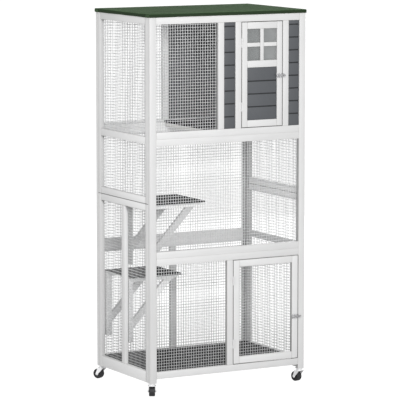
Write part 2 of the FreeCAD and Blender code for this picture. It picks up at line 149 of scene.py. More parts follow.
class HardwareSettings(PropertyGroup):
    """Hinges, latches, casters and their fasteners."""

    arris: length("Plate Arris", "Rounding along the edges of plates and of the window sheet", 0.0003)
    screw: length("Panel Screw", "Diameter of the screw heads in the side panels", 0.0056)
    hinge_screw: length("Hinge Screw", "Diameter of the screw heads in the hinges", 0.00476)
    latch_screw: length("Latch Screw", "Diameter of the screw heads in the latches", 0.0042)
    plate_screw: length("Plate Screw", "Diameter of the screw heads in the caster plates", 0.00448)
    rivet: length("Rivet Head", "Diameter of the rivet head on an axle", 0.0105)
    zinc: colour("Zinc", "Colour of the zinc plating", (0.88, 0.88, 0.89))
    latch: colour("Latch Zinc", "Colour of the duller zinc on the latches", (0.58, 0.58, 0.59))
    rubber: colour("Rubber", "Colour of the tyres", (0.008, 0.008, 0.009))


class StageSettings(PropertyGroup):
    """Floor and light."""

    floor: colour("Floor", "Colour of the studio floor", (0.12, 0.12, 0.12))
    sky: FloatProperty(name="Sky", description="Strength of the light from all round", default=0.594, min=0)
    front_key: power("Front Key", "Power of the front softbox", 189)
    side_key: power("Side Key", "Power of the left softbox", 96)
    back_key: power("Back Key", "Power of the rear softbox", 90)


class EnclosureSettings(PropertyGroup):
    """All settings of the enclosure."""

    timber: PointerProperty(type=TimberSettings)
    net: PointerProperty(type=NetSettings)
    felt: PointerProperty(type=FeltSettings)
    hardware: PointerProperty(type=HardwareSettings)
    stage: PointerProperty(type=StageSettings)


# Node trees


def arithmetic(operation, reflected=False):
    """Operator that adds a Math node, with its two values swapped in the reflected form."""

    def apply(self, other):
        first, second = (other, self) if reflected else (self, other)
        return self.tree.node("ShaderNodeMath", {"operation": operation}, {0: first, 1: second})

    return apply


class Socket:
    """Value in a node tree. Arithmetic on it adds Math nodes."""

    def __init__(self, tree, socket):
        self.tree = tree
        self.socket = socket

    def beside(self, output):
        """Another output of the same node."""
        return Socket(self.tree, self.socket.node.outputs[output])

    __add__ = arithmetic("ADD")
    __radd__ = arithmetic("ADD", reflected=True)
    __sub__ = arithmetic("SUBTRACT")
    __rsub__ = arithmetic("SUBTRACT", reflected=True)
    __mul__ = arithmetic("MULTIPLY")
    __rmul__ = arithmetic("MULTIPLY", reflected=True)


class Tree:
    """Node tree that is built one node at a time."""

    def __init__(self, nodes):
        self.nodes = nodes

    def node(self, kind, settings=None, sockets=None, output=0):
        """Adds a node, sets its settings, then the values or links of its sockets, and returns an output."""
        made = self.nodes.nodes.new(kind)
        for name, value in (settings or {}).items():
            if name == "stops":
                self._ramp(made.color_ramp, value)
            else:
                setattr(made, name, value)
        self.fill(made, sockets or {})
        return Socket(self, made.outputs[output]) if made.outputs else made

    def fill(self, made, sockets):
        for name, value in sockets.items():
            if isinstance(value, Socket):
                self.nodes.links.new(value.socket, made.inputs[name])
            else:
                made.inputs[name].default_value = value

    @staticmethod
    def _ramp(ramp, stops):
        ramp.elements.remove(ramp.elements[1])
        first, *others = stops
        ramp.elements[0].position, ramp.elements[0].color = first
        for position, tint in others:
            ramp.elements.new(position).color = tint


class Finish(Tree):
    """Material of one finish."""

    def __init__(self, name):
        self.material = bpy.data.materials.new(name)
        self.material.use_nodes = True
        super().__init__(self.material.node_tree)
        self.shader = self.nodes.nodes["Principled BSDF"]

    def place(self):
        return self.node("ShaderNodeTexCoord", output="Object")

    def grain_map(self, along, across):
        """The stick's own UV map, u along the grain and v across it, scaled to features per metre."""
        uv = self.node("ShaderNodeUVMap", {"uv_map": "grain"})
        return self.node("ShaderNodeMapping", {}, {"Vector": uv, "Scale": (along, across, 1)})

    def noise(self, vector, scale, detail=3, roughness=0.55):
        sockets = {"Vector": vector, "Scale": scale, "Detail": detail, "Roughness": roughness}
        return self.node("ShaderNodeTexNoise", {}, sockets)

    def cells(self, vector, scale):
        """Distance to the middle of a cell. The cell's own random colour is beside it."""
        return self.node("ShaderNodeTexVoronoi", {"feature": "F1"}, {"Vector": vector, "Scale": scale})

    def attribute(self, name):
        return self.node("ShaderNodeAttribute", {"attribute_name": name}, output="Fac")

    def mix(self, factor, first, second):
        return self.node("ShaderNodeMix", {"data_type": "RGBA"}, {0: factor, 6: first, 7: second}, output=2)

    def ramp(self, factor, *stops):
        return self.node("ShaderNodeValToRGB", {"stops": stops}, {"Fac": factor})

    def bump(self, height, distance, strength):
        sockets = {"Height": height, "Distance": distance, "Strength": strength}
        return self.node("ShaderNodeBump", {}, sockets)

    def surface(self, **sockets):
        self.fill(self.shader, {name.replace("_", " "): value for name, value in sockets.items()})
        return self.material


def rgba(tint, scale=1.0):
    return (*(min(1.0, c * scale) for c in tint), 1.0)


# Finishes

# Share of its tint that a finish shows where painted shade or painted light is marked
SHADED_PAINT, LIT_PAINT, SHADED_FELT = 0.22, 1.5, 0.30
# Heights above the bottom felt where the painted shade on the wires begins and where it is full, and its
# tint's share
FLOOR_SHADE_BEGINS, FLOOR_SHADE_FULL, FLOOR_SHADE_TINT = 0.21, 0.08, 0.3


def paint(name, tint, wear, sheen):
    """Satin paint brushed along a softwood stick, a little thinner on its arrises."""
    finish = Finish(name)
    grain = finish.noise(finish.grain_map(5, 95), 1.0, detail=6, roughness=0.62)
    brush = finish.noise(finish.grain_map(16, 1100), 1.0, detail=2)
    cloud = finish.noise(finish.place(), 9.0)
    rubbed = finish.attribute("arris") * (0.35 + cloud * 0.6) * wear
    shade = finish.ramp(grain * 0.55 + cloud * 0.45, (0.30, rgba(tint, 0.94)), (0.68, rgba(tint, 1.03)))
    worn = finish.mix(rubbed, shade, rgba((tint[0] * 0.80, tint[1] * 0.78, tint[2] * 0.74)))
    # Painted shade on the faces marked as shaded, and painted light on the faces marked as lit
    shaded = finish.mix(finish.attribute("thin_coat"), worn, rgba(tint, SHADED_PAINT))
    return finish.surface(
        Base_Color=finish.mix(finish.attribute("full_coat"), shaded, rgba(tint, LIT_PAINT)),
        Roughness=sheen + (grain - 0.5) * 0.16 + (brush - 0.5) * 0.10,
        Normal=finish.bump(grain * 0.7 + brush * 0.3, 0.0005, 0.45),
        Specular_IOR_Level=0.42,
    )


def bare_board(name, tint):
    """Sawn board with growth rings along its grain."""
    finish = Finish(name)
    warp = finish.noise(finish.grain_map(1.5, 6), 1.0)
    pattern = {"Vector": finish.grain_map(0.8, 24), "Scale": 1.0, "Distortion": 6.0, "Detail": 3.0}
    rings = finish.node(
        "ShaderNodeTexWave",
        {"wave_type": "BANDS", "bands_direction": "Y"},
        {**pattern, "Phase Offset": warp * 9},
    )
    fibre = finish.noise(finish.grain_map(14, 420), 1.0, detail=4)
    return finish.surface(
        Base_Color=finish.mix(rings * 0.5 + fibre * 0.3, rgba(tint, 1.12), rgba(tint, 0.74)),
        Roughness=0.72 + (fibre - 0.5) * 0.2,
        Normal=finish.bump(fibre, 0.0004, 0.5),
    )


def mineral_felt(name, tint, granule, contrast):
    """Bitumen felt with pressed mineral granules, each its own tone."""
    finish = Finish(name)
    place = finish.place()
    edge = finish.cells(place, 1 / granule)
    tone = edge.beside("Color")
    patch = finish.noise(place, 14.0, detail=4)
    streak = finish.noise(place, 3.0, detail=2)
    dark, light = rgba(tint, 1 - contrast), rgba(tint, 1 + 1.6 * contrast)
    level = tone * 0.55 + patch * 0.3 + streak * 0.15
    shade = finish.ramp(level, (0.22, dark), (0.5, rgba(tint)), (0.8, light))
    # The marked faces, the folded skirts and the corner laps, get painted shade
    return finish.surface(
        Base_Color=finish.mix(finish.attribute("thin_coat"), shade, rgba(tint, SHADED_FELT)),
        Roughness=0.90 - tone * 0.14,
        Normal=finish.bump((1 - edge) * 0.7 + patch * 0.3, 0.0006, 0.7),
        Specular_IOR_Level=0.12,
    )


def galvanised(name, tint, roughness, spangle, metal, floor_shade=0.0):
    """Zinc coat with so many spangles to the metre, dull patches, and any painted shade near the bottom
    floor.
    """
    finish = Finish(name)
    place = finish.place()
    crystal = finish.cells(place, spangle).beside("Color")
    dull = finish.noise(place, 45.0, detail=4)
    shade = finish.ramp(crystal * 0.5 + dull * 0.5, (0.25, rgba(tint, 0.80)), (0.75, rgba(tint, 1.08)))
    if floor_shade:
        # Painted shade: the wires darken towards the bottom floor
        height = finish.node("ShaderNodeSeparateXYZ", {}, {"Vector": place}, output="Z")
        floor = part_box("bottom_felt")[1].z
        rise = {"From Min": floor + FLOOR_SHADE_BEGINS, "From Max": floor + FLOOR_SHADE_FULL, "To Max": floor_shade}
        share = finish.node("ShaderNodeMapRange", {}, {"Value": height, **rise})
        shade = finish.mix(share, shade, rgba(tint, FLOOR_SHADE_TINT))
    return finish.surface(
        Base_Color=shade,
        Metallic=metal - dull * 0.1,
        Roughness=roughness + (dull - 0.5) * 0.24 + (crystal - 0.5) * 0.08,
        Normal=finish.bump(dull, 0.0001, 0.3),
    )


def tyre_rubber(name, tint):
    """Black tyre with fine moulding marks and a little dust."""
    finish = Finish(name)
    place = finish.place()
    dust = finish.noise(place, 130.0, detail=4)
    fine = finish.noise(place, 1500.0, detail=2)
    shade = finish.ramp(dust, (0.45, rgba(tint)), (0.8, rgba(tint, 2.6)))
    return finish.surface(
        Base_Color=finish.mix(finish.attribute("tread"), shade, rgba(tint, 2.2)),
        Roughness=0.48 + dust * 0.25,
        Normal=finish.bump(fine, 0.0001, 0.4),
    )


def clear_sheet(name, low, high):
    """Thin clear sheet, a little hazy, with a painted sheen that grows towards its latch side."""
    finish = Finish(name)
    place = finish.place()
    haze = finish.noise(place, 16.0, detail=4)
    # Painted sheen: the sheet grows lighter towards its latch side, over the random haze
    across = finish.node("ShaderNodeSeparateXYZ", {}, {"Vector": place}, output="X")
    share = (across - low.x) * (1 / (high.x - low.x))
    clear, haze_and_sheen = rgba((0.27, 0.283, 0.283)), rgba((0.47, 0.483, 0.483))
    return finish.surface(
        Base_Color=finish.mix(haze * 0.3 + share * 0.7, clear, haze_and_sheen),
        Roughness=0.06 + haze * 0.05,
        Alpha=0.50 + (haze - 0.5) * 0.12,
    )


FINISHES = {}


def make_finishes(settings):
    timber, net, felt, hardware = settings.timber, settings.net, settings.felt, settings.hardware
    wire = {"roughness": 0.45, "spangle": 260, "metal": 0.12, "floor_shade": 0.4}
    FINISHES.update(
        white_paint=paint("White Paint", timber.white, wear=0.5, sheen=0.44),
        grey_paint=paint("Grey Paint", timber.grey, wear=0.6, sheen=0.52),
        bare_wood=bare_board("Bare Board", timber.bare),
        black_felt=mineral_felt("Floor Felt", felt.floor, felt.granule, contrast=0.7),
        green_felt=mineral_felt("Roof Felt", felt.roof, felt.granule, contrast=0.5),
        galvanised_wire=galvanised("Galvanised Wire", net.zinc, **wire),
        zinc=galvanised("Zinc Plate", hardware.zinc, roughness=0.36, spangle=420, metal=0.3),
        latch_zinc=galvanised("Latch Zinc", hardware.latch, roughness=0.30, spangle=420, metal=0.8),
        tyre=tyre_rubber("Tyre Rubber", hardware.rubber),
        window_pane=clear_sheet("Window Sheet", *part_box("upper_door_pane")),
    )


# Solids of the frame


def solids_of(node):
    """Each closed solid of a CAD node, as a list of triangles."""
    mesh = frame["nodes"][node].data
    corners = [tuple(round(c, 6) for c in vertex.co) for vertex in mesh.vertices]
    unpaired = set()
    triangles = []
    for polygon in mesh.polygons:
        triangle = [corners[index] for index in polygon.vertices]
        triangles.append(triangle)
        for start, end in zip(triangle, triangle[1:] + triangle[:1]):
            unpaired ^= {frozenset((start, end))}
        if not unpaired:
            yield triangles
            triangles = []
    if triangles:
        raise RuntimeError(f"node {node} has a solid that isn't closed")


def box_of(triangles):
    points = [point for triangle in triangles for point in triangle]
    return Vector(map(min, *points)), Vector(map(max, *points))


def boxes_of(node):
    return [box_of(triangles) for triangles in solids_of(node)]


def solid_mesh(triangles):
    """Bmesh of one solid, with flat faces merged."""
    bm = bmesh.new()
    vertices = {}
    for triangle in triangles:
        for point in triangle:
            if point not in vertices:
                vertices[point] = bm.verts.new(point)
    for triangle in triangles:
        bm.faces.new([vertices[point] for point in triangle])
    bmesh.ops.dissolve_limit(bm, angle_limit=math.radians(2), verts=bm.verts[:], edges=bm.edges[:])
    return bm


def edges_over(bm, angle):
    """Edges whose two faces meet at more than an angle in degrees."""
    return [edge for edge in bm.edges if edge.is_manifold and edge.calc_face_angle(0) > math.radians(angle)]


def ease(bm, arris, segments):
    """Rounds the sharp edges, and marks the rounding with the arris attribute."""
    mark = bm.faces.layers.float.new("arris")
    rounding = {"offset": arris, "offset_type": "OFFSET", "segments": segments, "profile": 0.5}
    made = bmesh.ops.bevel(bm, geom=edges_over(bm, 25), affect="EDGES", clamp_overlap=True, **rounding)
    for face in made["faces"]:
        face[mark] = 1.0


def map_grain(bm, number):
    """UV map in metres: u along the longest edge, v across it, with a shift for each stick."""
    layer = bm.loops.layers.uv.new("grain")
    longest = max(bm.edges, key=lambda edge: edge.calc_length())
    along = (longest.verts[1].co - longest.verts[0].co).normalized()
    shift = Vector((number * 0.731 % 5.0, number * 0.417 % 3.0))
    for face in bm.faces:
        u_axis, v_axis = along, face.normal.cross(along)
        # An end face has no direction along the grain
        if v_axis.length < 0.3:
            u_axis, v_axis = along.orthogonal().normalized(), along.cross(along.orthogonal())
        v_axis.normalize()
        for loop in face.loops:
            loop[layer].uv = Vector((loop.vert.co.dot(u_axis), loop.vert.co.dot(v_axis))) + shift


def mesh_of(name, bm):
    """New mesh of a bmesh, which is freed."""
    mesh = bpy.data.meshes.new(name)
    bm.to_mesh(mesh)
    bm.free()
    return mesh


def add_solid(mesh, bm):
    """Appends a bmesh to a mesh, and frees it."""
    part = mesh_of("part", bm)
    whole = bmesh.new()
    whole.from_mesh(mesh)
    whole.from_mesh(part)
    whole.to_mesh(mesh)
    whole.free()
    bpy.data.meshes.remove(part)


def link(name, data):
    """Object in the scene with the given data."""
    made = bpy.data.objects.new(name, data)
    bpy.context.scene.collection.objects.link(made)
    return made


def apply_modifiers(start):
    """Plain mesh of an object with its modifiers, in place of the object and its own mesh."""
    name, source = start.name, start.data
    bpy.context.view_layer.update()
    mesh = bpy.data.meshes.new_from_object(start.evaluated_get(bpy.context.evaluated_depsgraph_get()))
    start.modifiers.clear()
    bpy.data.objects.remove(start)
    bpy.data.meshes.remove(source)
    mesh.name = name
    return mesh


def place_piece(name, mesh, slot, body, *nodes, smooth_to=38, finish=None):
    """Puts a finished mesh on its body, in place of CAD nodes."""
    mesh.materials.clear()
    mesh.materials.append(FINISHES[finish or slot])
    mesh.shade_smooth()
    mesh.set_sharp_from_angle(angle=math.radians(smooth_to))
    piece = link(name, mesh)
    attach(piece, body)
    if nodes:
        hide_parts(*nodes)
    return piece


def dress(node, prefix, arris, segments=2, marks=None, finish=None):
    """Piece with the solids of a CAD node, their edges eased and their grain mapped.

    marks sets the painted light and shade on the faces of a solid, given its bmesh and its box.
    """
    mesh = bpy.data.meshes.new(f"{prefix}_{node}")
    for number, triangles in enumerate(solids_of(node)):
        bm = solid_mesh(triangles)
        ease(bm, arris, segments)
        bm.normal_update()
        map_grain(bm, number + 3 * len(node))
        if marks:
            marks(bm, *box_of(triangles))
        add_solid(mesh, bm)
    place_piece(mesh.name, mesh, SLOT_OF[node], BODY_OF[node], node, finish=finish)


# Painted light and shade

# Two places that are nearer than this count as the same
TOUCH = 0.001
# Share of a normal along an axis from which a face is square to it, rounded towards it, or sloped
SQUARE, ROUNDED, SLOPED = 0.9, 0.7, 0.05
# Share of Z in the normals of a groove's slopes
GROOVE_FROM, GROOVE_TO = 0.3, 0.95
# Uprights within this distance of the left side belong to the left wall
LEFT_WALL = 0.1
# How near a stick is to a door that it faces, and the shortest stub that a split leaves of it
GAP_REACH, STUB = 0.004, 0.005
# Where the faces of a door's gap lie, from inside its rounded edge to past the edge that it faces
GAP_FROM, GAP_TO = -0.0009, 0.0037
# Largest faces of a door's gap and of a seam's rounding, in square metres
GAP_FACE, SEAM_FACE = 0.02, 0.01
# Painted shade on the inner faces of the far corner's rear and side sticks: axis, and strength above and
# below the door's top
FAR_REAR = ((1, 0.65, 1.0), (0, 0.1, 0.1))
FAR_SIDE = ((0, 0.5, 0.25), (1, 0.05, 0.05))
# Painted light and shade by node: kind, strength, the way that the faces look, and the axis and sign of one
# half or None
PAINTED_LIGHT_AND_SHADE = {
    "rear_divider_stile": [("full_coat", 1.0, FRONT, None)],
    "upper_rails": [("full_coat", 1.0, FRONT, (1, 1)), ("full_coat", 0.2, LEFT, (0, -1))],
    "lower_rails": [("full_coat", 0.25, FRONT, (1, 1))],
    "side_middle_rails": [("full_coat", 0.45, LEFT, (0, 1)), ("full_coat", 0.25, LEFT, (0, -1))],
    "bottom_rails": [("full_coat", 0.15, LEFT, (0, -1))],
    "rear_centre_stile": [("thin_coat", 0.1, FRONT, None)],
    "left_centre_stile": [("full_coat", 0.3, FRONT, None)],
    "right_lower_rail": [("thin_coat", 0.15, LEFT, None)],
    "lower_door_frame": [("full_coat", 0.12, FRONT, None)],
    "front_left_post": [("thin_coat", 0.06, FRONT, None)],
}


def middle(face):
    return face.calc_center_median()


def along_axis(axis, size=1.0):
    """Vector of a size along one axis."""
    vector = Vector((0, 0, 0))
    vector[axis] = size
    return vector


def mark_light_or_shade(bm, kind, strength, test):
    """Marks faces for painted shade or for painted light, by the kind of mark."""
    mark = bm.faces.layers.float.get(kind) or bm.faces.layers.float.new(kind)
    for face in bm.faces:
        if test(face):
            face[mark] = max(face[mark], strength)


# Marks faces for painted shade
def paint_shade(bm, strength, test):
    mark_light_or_shade(bm, "thin_coat", strength, test)


def split(bm, axis, place):
    """Cuts the faces of a stick at a place along an axis."""
    normal = along_axis(axis)
    parts = bm.verts[:] + bm.edges[:] + bm.faces[:]
    bmesh.ops.bisect_plane(bm, geom=parts, plane_co=normal * place, plane_no=normal)
    bm.normal_update()


def door_edges():
    """Each edge of the doors: its axis, place and outward sign, and the axis and ends of its run."""
    for low, high in DOORS:
        for axis, along in ((0, 2), (2, 0)):
            for side, sign in ((low[axis], -1), (high[axis], 1)):
                yield axis, side, sign, along, low[along], high[along]


def shade_jambs(bm, low, high):
    """Edges of an upright stick inside an opening, darker than its faces with painted shade."""
    size = high - low
    if size.z < 2 * max(size.x, size.y):
        return
    across = 0 if size.y < size.x else 1
    start, end = OUTER_LOW[across] + TOUCH, OUTER_HIGH[across] - TOUCH
    paint_shade(
        bm,
        0.15 if high.x < OUTER_LOW.x + LEFT_WALL else 0.5,
        lambda face: abs(face.normal[across]) > SQUARE and start < middle(face)[across] < end,
    )


def shade_gaps(bm, low, high):
    """Painted shade on jambs, and on the edges that face each other across the gap round a door."""
    shade_jambs(bm, low, high)
    if low.y > OUTER_LOW.y + TOUCH:
        return
    for axis, side, sign, along, start, end in door_edges():
        if not low[axis] - GAP_REACH < side < high[axis] + GAP_REACH:
            continue
        for place in (start, end):
            if low[along] + STUB < place < high[along] - STUB:
                split(bm, along, place)
        paint_shade(
            bm,
            0.9,
            lambda face: abs(face.normal[axis]) > ROUNDED
            and GAP_FROM < (middle(face)[axis] - side) * sign < GAP_TO
            and start < middle(face)[along] < end
            and face.calc_area() < GAP_FACE,
        )


def shade_seams(bm, low, high):
    """Painted shade on gaps, and on the rounded edges beside the open seam between two stacked side panels.
    """
    shade_gaps(bm, low, high)
    rails_low, rails_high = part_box("side_middle_rails")
    seam = (rails_low.z + rails_high.z) / 2
    reach = bpy.context.scene.cat_enclosure.timber.open_arris
    paint_shade(
        bm,
        1.0,
        lambda face: abs(middle(face).z - seam) < reach
        and abs(face.normal.z) > SLOPED
        and face.calc_area() < SEAM_FACE,
    )


def shade_far_corner(bm, low, high):
    """Painted shade on seams, and on the inner faces of the corner that is furthest from the light."""
    shade_seams(bm, low, high)
    door_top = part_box("lower_rails")[0].z
    split(bm, 2, door_top)
    for axis, above, below in FAR_REAR if high.y > OUTER_HIGH.y - TOUCH else FAR_SIDE:
        for strength, sign in ((above, 1), (below, -1)):
            paint_shade(
                bm,
                strength,
                lambda face: face.normal[axis] < -SQUARE and (middle(face).z - door_top) * sign > 0,
            )


def light_and_shade_bracket(bm, low, high):
    """Painted shade and painted light on the sides of a shelf bracket's leg, arm or brace."""
    size = high - low
    leg, arm = size.z > 4 * size.x, size.x > 4 * size.z
    if leg:
        paint_shade(bm, 0.2, lambda face: face.normal.x < -SQUARE)
    if arm or high.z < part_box("lower_shelf")[1].z:
        mark_light_or_shade(bm, "full_coat", 0.9, lambda face: abs(face.normal.y) > SQUARE)
    else:
        paint_shade(bm, 0.4 if leg else 0.05, lambda face: abs(face.normal.y) > SQUARE)


def light_and_shade_of(node):
    """Function that marks the painted light and shade on a painted node's solids."""
    if node == "rear_right_post":
        by_shape = shade_far_corner
    elif node.endswith("_brackets"):
        by_shape = light_and_shade_bracket
    elif node == "side_middle_rails" or node.endswith("_post"):
        by_shape = shade_seams
    else:
        by_shape = None if "shelf" in node else shade_gaps

    def marks(bm, low, high):
        if by_shape:
            by_shape(bm, low, high)
        for kind, strength, outward, half in PAINTED_LIGHT_AND_SHADE.get(node, ()):
            if half is None or (low + high)[half[0]] * half[1] > 0:
                mark_light_or_shade(bm, kind, strength, lambda face: face.normal.dot(outward) > SQUARE)

    return marks


def shade_grooves(bm, low, high):
    """Painted shade on the slopes of the grooves between the boards."""
    paint_shade(bm, 0.8, lambda face: GROOVE_FROM < abs(face.normal.z) < GROOVE_TO)


def shade_rear_wall(bm, low, high):
    """Painted shade on the grooves, and on the plain inner face of the rear wall."""
    shade_grooves(bm, low, high)
    paint_shade(bm, 0.35, lambda face: face.normal.y < -SQUARE)


# Sheets and turned pieces

# Distance between the points of a felt sheet, its waves to the metre, and how uneven its top is to its hem
FELT_STEP, FELT_WAVES, FELT_TOP = 0.028, 9, 0.6
# How far a corner lap lies under and over the face of the felt, and the rounding of its edges
LAP_UNDER, LAP_OVER, LAP_ARRIS = -0.0005, 0.0013, 0.0004


def bridge(bm, near, far):
    """Faces between two closed rows of points."""
    for step in range(len(near)):
        after = (step + 1) % len(near)
        bm.faces.new((near[step], near[after], far[after], far[step]))


def fold_felt(name, low, high, folds, felt):
    """Felt sheet over a board: a gently uneven top, with skirts folded down along the given sides.

    low and high are the corners of the space that the sheet wraps. Each fold is an axis and a sign.
    """
    bm = bmesh.new()
    made = {}

    def vertex(place):
        key = tuple(round(c, 5) for c in place)
        if key not in made:
            made[key] = bm.verts.new(key)
        return made[key]

    def quad(corners, outward):
        face = bm.faces.new([vertex(corner) for corner in corners])
        face.normal_update()
        if face.normal.dot(outward) < 0:
            face.normal_flip()

    def stations(start, end):
        count = max(3, round((end - start) / FELT_STEP))
        return [start + (end - start) * step / count for step in range(count + 1)]

    xs, ys = stations(low.x, high.x), stations(low.y, high.y)
    for x0, x1 in zip(xs, xs[1:]):
        for y0, y1 in zip(ys, ys[1:]):
            quad([(x0, y0, high.z), (x1, y0, high.z), (x1, y1, high.z), (x0, y1, high.z)], UP)
    waist = (high.z + low.z) / 2
    for axis, sign in folds:
        side = (high if sign > 0 else low)[axis]
        run = ys if axis == 0 else xs
        for a, b in zip(run, run[1:]):
            for z0, z1 in ((high.z, waist), (waist, low.z)):
                corners = [(side, a, z0), (side, b, z0), (side, b, z1), (side, a, z1)]
                turned = [c if axis == 0 else (c[1], c[0], c[2]) for c in corners]
                quad(turned, along_axis(axis, sign))
    # The shift gives each sheet waves of its own
    shift = Vector((high.z * 31, 0, 0))
    for point in bm.verts:
        lift = 0.5 + 0.5 * noise.noise(point.co * FELT_WAVES + shift)
        if point.co.z > high.z - TOUCH:
            point.co.z -= felt.sag * lift * FELT_TOP
        elif point.co.z < low.z + TOUCH:
            point.co.z += felt.sag * lift
    rounding = {"offset": felt.fold, "segments": 3, "profile": 0.5}
    bmesh.ops.bevel(bm, geom=edges_over(bm, 60), affect="EDGES", clamp_overlap=True, **rounding)
    bm.normal_update()
    # Painted shade on the skirts that hang down the sides
    paint_shade(bm, 1.0, lambda face: abs(face.normal.z) < 0.5)
    start = link(name, mesh_of(name, bm))
    wall = start.modifiers.new("Thickness", "SOLIDIFY")
    wall.thickness = felt.sheet
    wall.offset = -1
    return apply_modifiers(start)


def corner_lap(low, high, sides, felt):
    """Lap of the roof felt that is folded round one corner onto a short side."""
    sx, sy = sides
    bm = bmesh.new()
    x = (high if sx > 0 else low).x
    y = (high if sy > 0 else low).y
    top, foot = high.z - felt.fold * 1.2, low.z + felt.sag
    outline = [
        (y - sy * felt.fold, top),
        (y - sy * felt.lap * 0.72, top),
        (y - sy * felt.lap, foot),
        (y - sy * felt.fold, foot),
    ]
    rows = [[bm.verts.new((x + sx * out, a, b)) for a, b in outline] for out in (LAP_UNDER, LAP_OVER)]
    for row in rows:
        bm.faces.new(row)
    bridge(bm, *rows)
    bmesh.ops.recalc_face_normals(bm, faces=bm.faces[:])
    bmesh.ops.bevel(bm, geom=bm.edges[:], offset=LAP_ARRIS, segments=2, profile=0.5, affect="EDGES")
    bm.normal_update()
    # Painted shade over the whole lap
    paint_shade(bm, 0.55, lambda face: True)
    return bm


def turn_profile(profile, centre, axis, steps):
    """Bmesh of a closed profile of radius and height, turned about an axis."""
    bm = bmesh.new()
    side = axis.orthogonal().normalized()
    rings = []
    for step in range(steps):
        arm = Matrix.Rotation(math.tau * step / steps, 3, axis) @ side
        rings.append([bm.verts.new(centre + arm * radius + axis * height) for radius, height in profile])
    for near, far in zip(rings, rings[1:] + rings[:1]):
        bridge(bm, near, far)
    bmesh.ops.recalc_face_normals(bm, faces=bm.faces[:])
    bm.normal_update()
    return bm


# Geometry Nodes


class Maker(Tree):
    """Geometry Nodes tree with named inputs."""

    def __init__(self, name, **inputs):
        super().__init__(bpy.data.node_groups.new(name, "GeometryNodeTree"))
        sockets = self.nodes.interface
        sockets.new_socket("Geometry", in_out="INPUT", socket_type="NodeSocketGeometry")
        for label, kind in inputs.items():
            sockets.new_socket(label, in_out="INPUT", socket_type=f"NodeSocket{kind}")
        sockets.new_socket("Geometry", in_out="OUTPUT", socket_type="NodeSocketGeometry")
        self.given = self.nodes.nodes.new("NodeGroupInput")

    def input(self, name):
        return Socket(self, self.given.outputs[name])

    def finish_with(self, geometry):
        """Realizes the instances, sets the finish and ends the tree."""
        real = self.node("GeometryNodeRealizeInstances", {}, {"Geometry": geometry})
        sockets = {"Geometry": real, "Material": self.input("Finish")}
        self.node("NodeGroupOutput", {}, {"Geometry": self.node("GeometryNodeSetMaterial", {}, sockets)})

    def make(self, name, mesh, **values):
        """Plain mesh that the tree makes from a mesh of points or lines."""
        start = link(name, mesh)
        modifier = start.modifiers.new(name, "NODES")
        modifier.node_group = self.nodes
        inputs = [item for item in self.nodes.interface.items_tree if item.in_out == "INPUT"]
        identifiers = {item.name: item.identifier for item in inputs}
        for label, value in values.items():
            modifier[identifiers[label]] = value
        return apply_modifiers(start)


def net_maker():
    """Tree that turns lines into wires and loose points into the welds where they cross."""
    tree = Maker("Welded Net", Wire="Float", Wander="Float", Seed="Int", Finish="Material")
    lines, wire = tree.input("Geometry"), tree.input("Wire")
    place = tree.node("GeometryNodeInputPosition")
    drift = tree.node(
        "ShaderNodeTexNoise",
        {"noise_dimensions": "4D"},
        {"Vector": place, "W": tree.input("Seed") * 3.7, "Scale": 11.0, "Detail": 1.0},
        output="Color",
    )
    half = (0.5, 0.5, 0.5)
    centred = tree.node("ShaderNodeVectorMath", {"operation": "SUBTRACT"}, {0: drift, 1: half})
    reach = {0: centred, "Scale": tree.input("Wander") * 2}
    stray = tree.node("ShaderNodeVectorMath", {"operation": "SCALE"}, reach)
    paths = tree.node("GeometryNodeMeshToCurve", {}, {"Mesh": lines})
    steps = tree.node("GeometryNodeResampleCurve", {}, {"Curve": paths, "Count": 14})
    bent = tree.node("GeometryNodeSetPosition", {}, {"Geometry": steps, "Offset": stray})
    section = tree.node("GeometryNodeCurvePrimitiveCircle", {}, {"Resolution": 6, "Radius": wire * 0.5})
    sweep = {"Curve": bent, "Profile Curve": section, "Fill Caps": True}
    wires = tree.node("GeometryNodeCurveToMesh", {}, sweep)
    ends = tree.node("GeometryNodeInputMeshVertexNeighbors")
    loose = tree.node("FunctionNodeCompare", {"data_type": "INT", "operation": "EQUAL"}, {2: ends, 3: 0})
    points = tree.node("GeometryNodeSetPosition", {}, {"Geometry": lines, "Offset": stray})
    bead = tree.node("GeometryNodeMeshUVSphere", {}, {"Segments": 4, "Rings": 3, "Radius": wire * 0.62})
    beads = {"Points": points, "Selection": loose, "Instance": bead}
    welds = tree.node("GeometryNodeInstanceOnPoints", {}, beads)
    both = tree.nodes.nodes.new("GeometryNodeJoinGeometry")
    for part in (wires, welds):
        tree.fill(both, {0: part})
    tree.finish_with(Socket(tree, both.outputs[0]))
    return tree


def fastener_maker():
    """Tree that sets one fastener on each point, aimed by the point's attribute and spun at random."""
    tree = Maker("Fasteners", Fastener="Object", Spin="Float", Seed="Int", Finish="Material")
    sample = {"Object": tree.input("Fastener"), "As Instance": True}
    shape = tree.node("GeometryNodeObjectInfo", {}, sample, output="Geometry")
    aim = tree.node("GeometryNodeInputNamedAttribute", {"data_type": "FLOAT_VECTOR"}, {"Name": "aim"})
    turned = tree.node("FunctionNodeEulerToRotation", {}, {0: aim})
    sockets = {"Points": tree.input("Geometry"), "Instance": shape, "Rotation": turned}
    placed = tree.node("GeometryNodeInstanceOnPoints", {}, sockets)
    spin = tree.input("Spin")
    angle = tree.node(
        "FunctionNodeRandomValue",
        {"data_type": "FLOAT"},
        {2: spin * -0.5, 3: spin * 0.5, "Seed": tree.input("Seed")},
        output=1,
    )
    twist = tree.node("ShaderNodeCombineXYZ", {}, {"Z": angle})
    tree.finish_with(tree.node("GeometryNodeRotateInstances", {}, {"Instances": placed, "Rotation": twist}))
    return tree


MAKERS = {}


# Fasteners

HEAD_STEPS = 16


